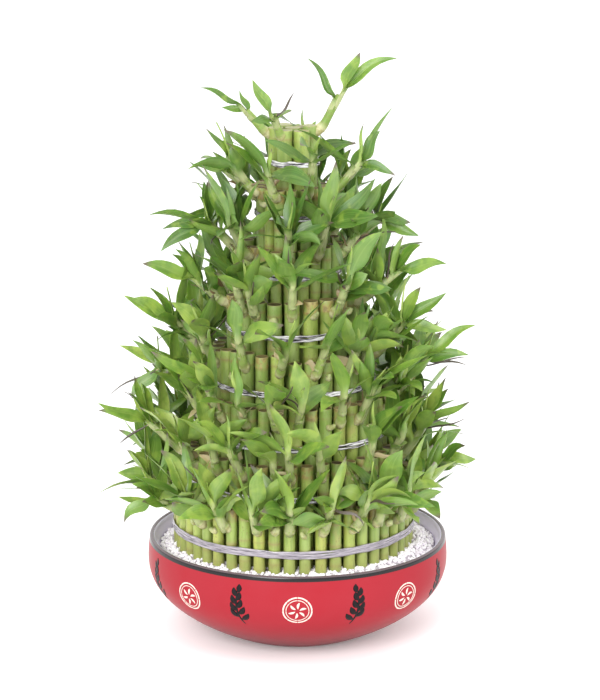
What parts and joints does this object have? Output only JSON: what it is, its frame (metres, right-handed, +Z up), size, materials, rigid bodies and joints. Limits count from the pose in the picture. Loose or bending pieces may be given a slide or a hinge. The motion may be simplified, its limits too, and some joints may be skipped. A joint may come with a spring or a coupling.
{
  "type": "lucky bamboo",
  "caption": "Stepped tower of cut lucky bamboo canes with leafy side shoots, each tier bound with clear tape, standing in white gravel in a wide round glazed bowl.",
  "frame": {"origin": "middle of the bowl's flat foot, on the surface that it stands on", "axes": "+Z up along the canes, -Y towards the front of the plant, +X to the right seen from the front"},
  "size_m": [0.3534, 0.34, 0.5504],
  "materials": {
    "bowl_glaze": "satin coral red glaze outside, pale grey inside, dark brown lip",
    "grit": "matt white marble grit",
    "tape": "glossy clear tape wound in a few turns",
    "cane_and_leaf": "living yellow green canes with pale node rings and mid green satin leaves"
  },
  "bodies": {
    "root": {"band_tier_1": "tape", "band_tier_2": "tape", "band_tier_3": "tape", "band_tier_4": "tape", "band_tier_5": "tape", "band_tier_6": "tape", "band_tier_7": "tape", "band_tier_8": "tape", "bowl": "bowl_glaze", "gravel": "grit", "tier_1_cane_1": "cane_and_leaf", "tier_1_cane_2": "cane_and_leaf", "tier_1_cane_3": "cane_and_leaf", "tier_1_cane_4": "cane_and_leaf", "tier_1_cane_5": "cane_and_leaf", "tier_1_cane_6": "cane_and_leaf", "tier_1_cane_7": "cane_and_leaf", "tier_2_canes_1": "cane_and_leaf", "tier_2_canes_2": "cane_and_leaf", "tier_2_canes_3": "cane_and_leaf", "tier_2_canes_4": "cane_and_leaf", "tier_3_canes_1": "cane_and_leaf", "tier_3_canes_2": "cane_and_leaf", "tier_3_canes_3": "cane_and_leaf", "tier_3_canes_4": "cane_and_leaf", "tier_3_canes_5": "cane_and_leaf", "tier_4_canes_1": "cane_and_leaf", "tier_4_canes_2": "cane_and_leaf", "tier_4_canes_3": "cane_and_leaf", "tier_4_canes_4": "cane_and_leaf", "tier_4_canes_5": "cane_and_leaf", "tier_5_canes_1": "cane_and_leaf", "tier_5_canes_2": "cane_and_leaf", "tier_5_canes_3": "cane_and_leaf", "tier_5_canes_4": "cane_and_leaf", "tier_5_canes_5": "cane_and_leaf", "tier_5_canes_6": "cane_and_leaf", "tier_6_canes_1": "cane_and_leaf", "tier_6_canes_2": "cane_and_leaf", "tier_6_canes_3": "cane_and_leaf", "tier_6_canes_4": "cane_and_leaf", "tier_6_canes_5": "cane_and_leaf", "tier_6_canes_6": "cane_and_leaf", "tier_6_canes_7": "cane_and_leaf", "tier_7_canes_1": "cane_and_leaf", "tier_7_canes_2": "cane_and_leaf", "tier_7_canes_3": "cane_and_leaf", "tier_7_canes_4": "cane_and_leaf", "tier_7_canes_5": "cane_and_leaf", "tier_7_canes_6": "cane_and_leaf", "tier_7_canes_7": "cane_and_leaf", "tier_8_canes_1": "cane_and_leaf", "tier_8_canes_2": "cane_and_leaf", "tier_8_canes_3": "cane_and_leaf", "tier_8_canes_4": "cane_and_leaf", "tier_8_canes_5": "cane_and_leaf", "tier_8_canes_6": "cane_and_leaf", "tier_8_canes_7": "cane_and_leaf", "tier_8_canes_8": "cane_and_leaf"}
  },
  "joints": []
}
